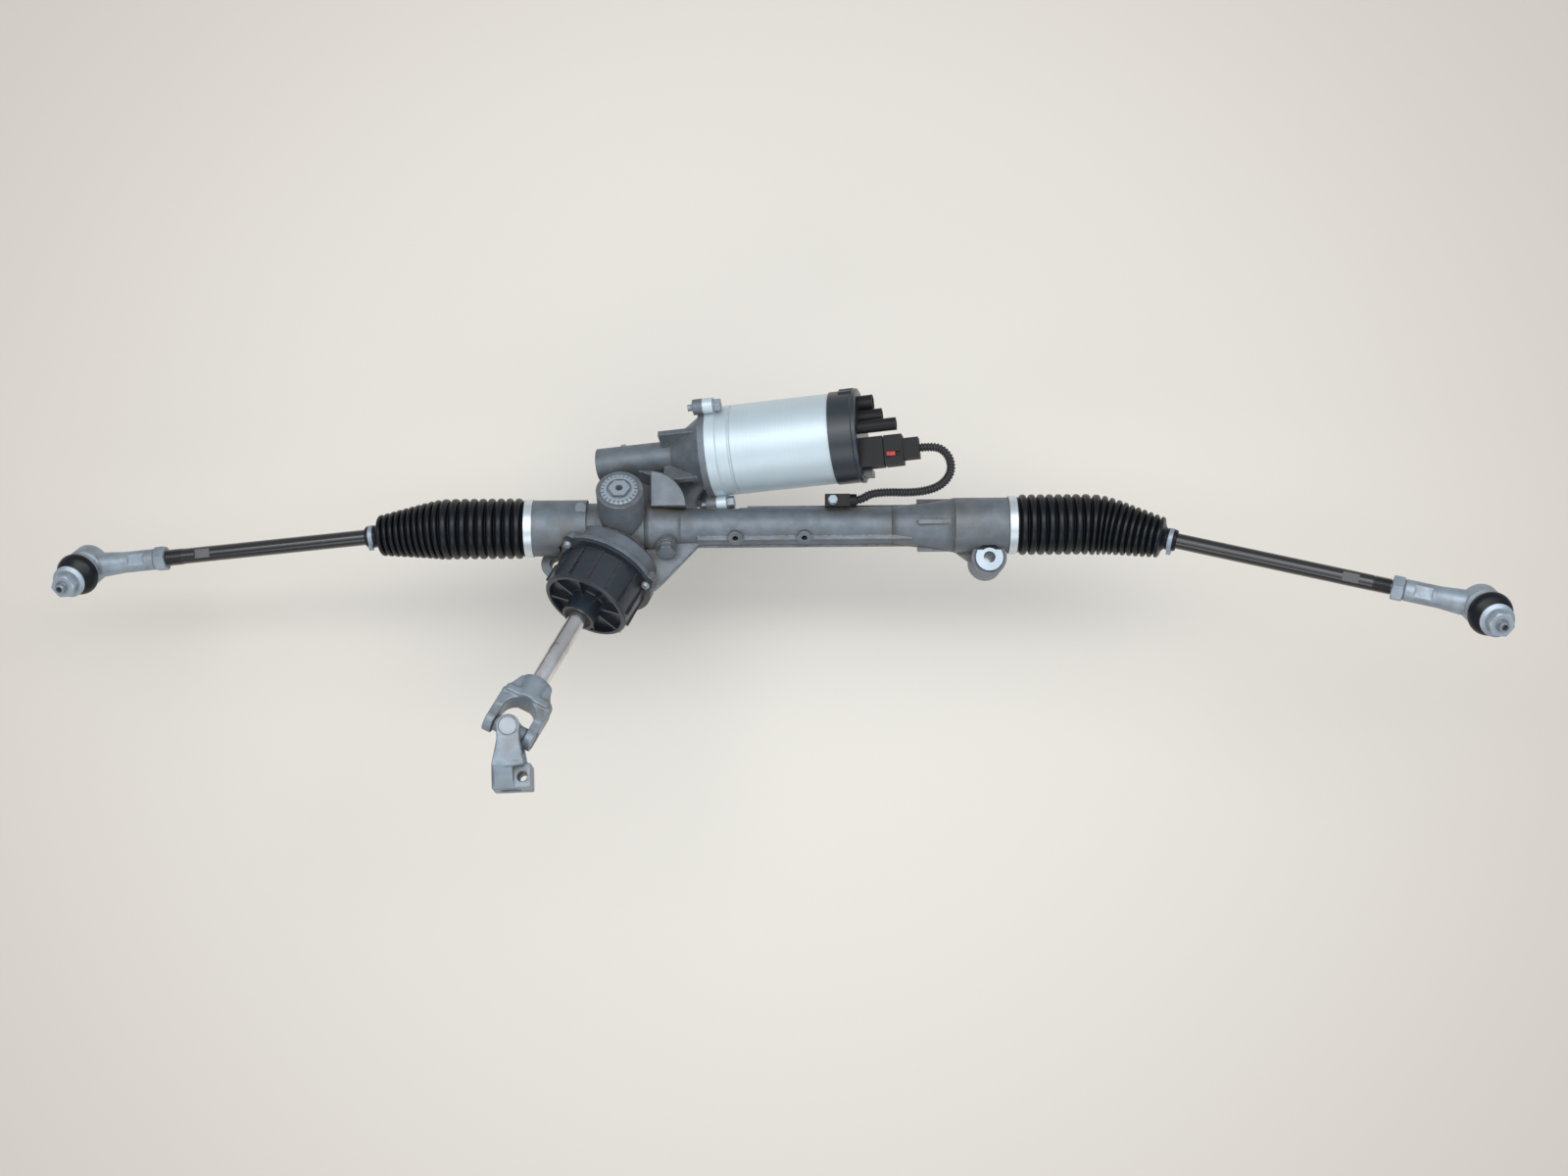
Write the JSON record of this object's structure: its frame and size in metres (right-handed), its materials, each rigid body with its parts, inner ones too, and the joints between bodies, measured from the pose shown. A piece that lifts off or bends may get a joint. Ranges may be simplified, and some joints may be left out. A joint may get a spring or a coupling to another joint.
{
  "type": "steering rack",
  "caption": "Electric power steering rack with housing, worm-drive motor, pinion shaft with universal joint, rubber boots, tie rods and ball-joint ends.",
  "frame": {"origin": "midway between the two mounting bolt holes, on the face that lies on the subframe", "axes": "+X along the rack towards the end far from the pinion, +Y towards the motor, +Z along the mounting bolts"},
  "size_m": [1.2683, 0.3563, 0.2192],
  "materials": {
    "housing_casting": "blue-grey die casting",
    "cover_plastic": "blue-black moulding",
    "motor_shell": "turned, bright",
    "ecu_plastic": "black moulding",
    "socket_plastic": "black moulding",
    "lock_plastic": "red",
    "circuit_board": "satin",
    "copper": "enamelled wire",
    "laminations": "stacked sheet",
    "magnet_steel": "ground",
    "bearing_steel": "ground",
    "sleeve_steel": "bright zinc",
    "zinc_steel": "pale zinc",
    "shaft_steel": "polished, scuffed",
    "gear_steel": "hobbed and ground",
    "gear_nylon": "natural nylon",
    "spring_steel": "tempered",
    "pad_plastic": "low-friction",
    "rod_paint": "glossy black",
    "joint_iron": "cast grey",
    "boot_rubber": "satin black",
    "bush_rubber": "matt",
    "lead_conduit": "corrugated"
  },
  "bodies": {
    "housing": {"main_housing": "housing_casting", "wheel_cover": "housing_casting", "wheel_cover_screws": "zinc_steel", "yoke_plug": "sleeve_steel", "yoke_springs": "spring_steel", "yoke_pad": "pad_plastic", "dust_cover": "cover_plastic", "cover_screws": "zinc_steel", "input_seal": "bush_rubber", "torque_sensor": "socket_plastic", "pinion_bearings": "bearing_steel", "rack_bush": "pad_plastic", "mount_sleeve": "sleeve_steel", "mount_bush": "bush_rubber", "test_plug": "zinc_steel", "motor_housing": "motor_shell", "motor_bolts": "zinc_steel", "stator_core": "laminations", "motor_windings": "copper", "ecu_cap": "ecu_plastic", "ecu_board": "circuit_board", "ecu_sockets": "socket_plastic", "worm_bearings": "bearing_steel", "sensor_plug": "socket_plastic", "sensor_lead": "lead_conduit", "lead_connector": "socket_plastic", "connector_bolt": "zinc_steel", "band_clamps": "sleeve_steel", "boot_left": "boot_rubber", "boot_right": "boot_rubber"},
    "rack": {"rack_bar": "gear_steel", "inner_socket_left": "zinc_steel", "inner_socket_right": "zinc_steel"},
    "pinion": {"pinion_shaft": "gear_steel", "input_shaft": "shaft_steel", "torsion_bar": "spring_steel", "worm_wheel": "gear_nylon", "sensor_rotor": "magnet_steel", "upper_yoke": "joint_iron", "upper_bearing_cups": "bearing_steel"},
    "worm": {"worm_shaft": "gear_steel", "motor_rotor": "magnet_steel"},
    "joint_cross": {"joint_cross": "joint_iron"},
    "lower_yoke": {"lower_yoke": "joint_iron", "lower_bearing_cups": "bearing_steel"},
    "lock_tab": {"plug_lock_tab": "lock_plastic"},
    "tie_rod_left": {"tie_rod_left": "rod_paint", "boot_clip_left": "zinc_steel", "jam_nut_left": "zinc_steel", "rod_end_left": "zinc_steel", "ball_boot_left": "boot_rubber"},
    "ball_stud_left": {"ball_stud_left": "bearing_steel", "stud_nut_left": "sleeve_steel"},
    "tie_rod_right": {"tie_rod_right": "rod_paint", "boot_clip_right": "zinc_steel", "jam_nut_right": "zinc_steel", "rod_end_right": "zinc_steel", "ball_boot_right": "boot_rubber"},
    "ball_stud_right": {"ball_stud_right": "bearing_steel", "stud_nut_right": "sleeve_steel"}
  },
  "joints": [
    {"name": "rack_slide", "type": "slide", "parent": "housing", "child": "rack", "axis": [1, 0, 0], "range_m": [-0.066, 0.066], "deforming": ["boot_left", "boot_right"]},
    {"name": "pinion_spin", "type": "hinge", "parent": "housing", "child": "pinion", "pos_m": [-0.1315, 0.0215, 0.01777], "axis": [-0.4067, -0.799, 0.4429], "range_deg": [-473.3, 473.3]},
    {"name": "motor_spin", "type": "hinge", "parent": "housing", "child": "worm", "pos_m": [-0.11352, 0.09392, 0.02269], "axis": [0.9809, 0.0686, 0.1822], "range_deg": [-5989.4, 5989.4]},
    {"name": "joint_upper", "type": "hinge", "parent": "pinion", "child": "joint_cross", "pos_m": [-0.22017, -0.15268, 0.11432], "axis": [-0.8971, 0.441, -0.0282], "range_deg": [-4.4, 45.6]},
    {"name": "joint_lower", "type": "hinge", "parent": "joint_cross", "child": "lower_yoke", "pos_m": [-0.22017, -0.15268, 0.11432], "axis": [0.0186, 0.1015, 0.9947], "range_deg": [-58.5, 1.5]},
    {"name": "lock_tab_slide", "type": "slide", "parent": "housing", "child": "lock_tab", "axis": [0.9809, 0.0686, 0.1822], "range_m": [0, 0.004]},
    {"name": "tie_rod_left_swing", "type": "hinge", "parent": "rack", "child": "tie_rod_left", "pos_m": [-0.292, 0.0305, 0.034], "axis": [0, 1, 0], "range_deg": [-15, 29], "deforming": ["boot_left"]},
    {"name": "ball_stud_left_swing", "type": "hinge", "parent": "tie_rod_left", "child": "ball_stud_left", "pos_m": [-0.62161, 0.00514, -0.00601], "axis": [0.1246, -0.8716, -0.4741], "range_deg": [-20, 20], "deforming": ["ball_boot_left"]},
    {"name": "tie_rod_right_swing", "type": "hinge", "parent": "rack", "child": "tie_rod_right", "pos_m": [0.292, 0.0305, 0.034], "axis": [0, 1, 0], "range_deg": [-8, 35], "deforming": ["boot_right"]},
    {"name": "ball_stud_right_swing", "type": "hinge", "parent": "tie_rod_right", "child": "ball_stud_right", "pos_m": [0.60486, -0.0545, 0.11004], "axis": [0.1434, 0.8987, 0.4146], "range_deg": [-20, 20], "deforming": ["ball_boot_right"]}
  ],
  "couplings": [
    {"joint": "pinion_spin", "follows": "rack_slide", "rad_per_m": -125},
    {"joint": "motor_spin", "follows": "rack_slide", "rad_per_m": -1583.3}
  ]
}
